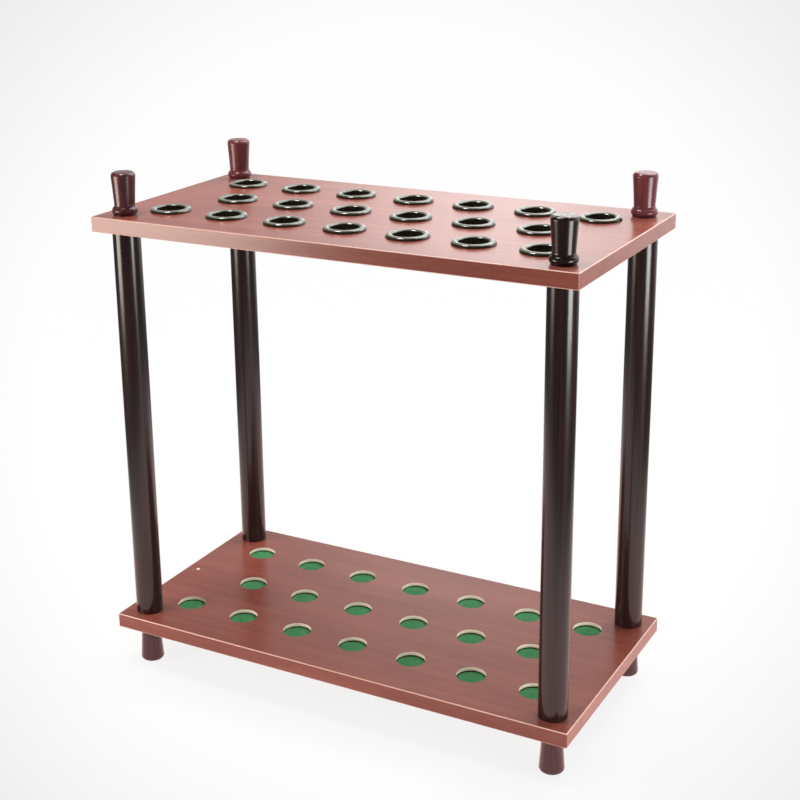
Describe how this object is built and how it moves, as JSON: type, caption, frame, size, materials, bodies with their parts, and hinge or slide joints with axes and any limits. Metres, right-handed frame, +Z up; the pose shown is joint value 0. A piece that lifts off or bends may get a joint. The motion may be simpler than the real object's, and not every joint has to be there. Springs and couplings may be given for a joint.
{
  "type": "billiard cue rack",
  "caption": "Free-standing billiard cue floor rack: mahogany boards on turned posts, ring-grommet cue holes above felt-lined butt recesses, screw-on finials and feet.",
  "frame": {"origin": "on the floor under the centre of the stand, at the bottom centre of the bounding box", "axes": "+X along the boards' length, +Y to the back, +Z up; the four feet stand on z = 0"},
  "size_m": [0.602, 0.3, 0.628],
  "materials": {
    "board_veneer": "satin",
    "dark_turned_wood": "gloss",
    "black_rubber": "satin",
    "green_felt": "matte",
    "zinc_steel": "satin",
    "brass_insert": "satin"
  },
  "bodies": {
    "rack": {"base_board": "board_veneer", "top_board": "board_veneer", "post_fl": "dark_turned_wood", "post_fr": "dark_turned_wood", "post_bl": "dark_turned_wood", "post_br": "dark_turned_wood", "foot_fl": "dark_turned_wood", "foot_fr": "dark_turned_wood", "foot_bl": "dark_turned_wood", "foot_br": "dark_turned_wood", "foot_studs": "zinc_steel", "post_inserts": "brass_insert", "grommet_01": "black_rubber", "grommet_02": "black_rubber", "grommet_03": "black_rubber", "grommet_04": "black_rubber", "grommet_05": "black_rubber", "grommet_06": "black_rubber", "grommet_07": "black_rubber", "grommet_08": "black_rubber", "grommet_09": "black_rubber", "grommet_10": "black_rubber", "grommet_11": "black_rubber", "grommet_12": "black_rubber", "grommet_13": "black_rubber", "grommet_14": "black_rubber", "grommet_15": "black_rubber", "grommet_16": "black_rubber", "grommet_17": "black_rubber", "grommet_18": "black_rubber", "grommet_19": "black_rubber", "grommet_20": "black_rubber", "felt_pad_01": "green_felt", "felt_pad_02": "green_felt", "felt_pad_03": "green_felt", "felt_pad_04": "green_felt", "felt_pad_05": "green_felt", "felt_pad_06": "green_felt", "felt_pad_07": "green_felt", "felt_pad_08": "green_felt", "felt_pad_09": "green_felt", "felt_pad_10": "green_felt", "felt_pad_11": "green_felt", "felt_pad_12": "green_felt", "felt_pad_13": "green_felt", "felt_pad_14": "green_felt", "felt_pad_15": "green_felt", "felt_pad_16": "green_felt", "felt_pad_17": "green_felt", "felt_pad_18": "green_felt", "felt_pad_19": "green_felt", "felt_pad_20": "green_felt"},
    "stud_fl": {"finial_stud_fl": "zinc_steel"},
    "finial_fl": {"finial_fl": "dark_turned_wood"},
    "stud_fr": {"finial_stud_fr": "zinc_steel"},
    "finial_fr": {"finial_fr": "dark_turned_wood"},
    "stud_bl": {"finial_stud_bl": "zinc_steel"},
    "finial_bl": {"finial_bl": "dark_turned_wood"},
    "stud_br": {"finial_stud_br": "zinc_steel"},
    "finial_br": {"finial_br": "dark_turned_wood"}
  },
  "joints": [
    {"name": "stud_rise_fl", "type": "slide", "parent": "rack", "child": "stud_fl", "axis": [0, 0, 1], "range_m": [0, 0.01875]},
    {"name": "finial_turn_fl", "type": "hinge", "parent": "stud_fl", "child": "finial_fl", "pos_m": [-0.273, -0.121, 0.578], "axis": [0, 0, 1], "range_deg": [0, 5403]},
    {"name": "stud_rise_fr", "type": "slide", "parent": "rack", "child": "stud_fr", "axis": [0, 0, 1], "range_m": [0, 0.01875]},
    {"name": "finial_turn_fr", "type": "hinge", "parent": "stud_fr", "child": "finial_fr", "pos_m": [0.273, -0.121, 0.578], "axis": [0, 0, 1], "range_deg": [0, 5403]},
    {"name": "stud_rise_bl", "type": "slide", "parent": "rack", "child": "stud_bl", "axis": [0, 0, 1], "range_m": [0, 0.01875]},
    {"name": "finial_turn_bl", "type": "hinge", "parent": "stud_bl", "child": "finial_bl", "pos_m": [-0.273, 0.121, 0.578], "axis": [0, 0, 1], "range_deg": [0, 5403]},
    {"name": "stud_rise_br", "type": "slide", "parent": "rack", "child": "stud_br", "axis": [0, 0, 1], "range_m": [0, 0.01875]},
    {"name": "finial_turn_br", "type": "hinge", "parent": "stud_br", "child": "finial_br", "pos_m": [0.273, 0.121, 0.578], "axis": [0, 0, 1], "range_deg": [0, 5403]}
  ],
  "couplings": [
    {"joint": "finial_turn_fl", "follows": "stud_rise_fl", "rad_per_m": 5026.5},
    {"joint": "finial_turn_fr", "follows": "stud_rise_fr", "rad_per_m": 5026.5},
    {"joint": "finial_turn_bl", "follows": "stud_rise_bl", "rad_per_m": 5026.5},
    {"joint": "finial_turn_br", "follows": "stud_rise_br", "rad_per_m": 5026.5}
  ]
}
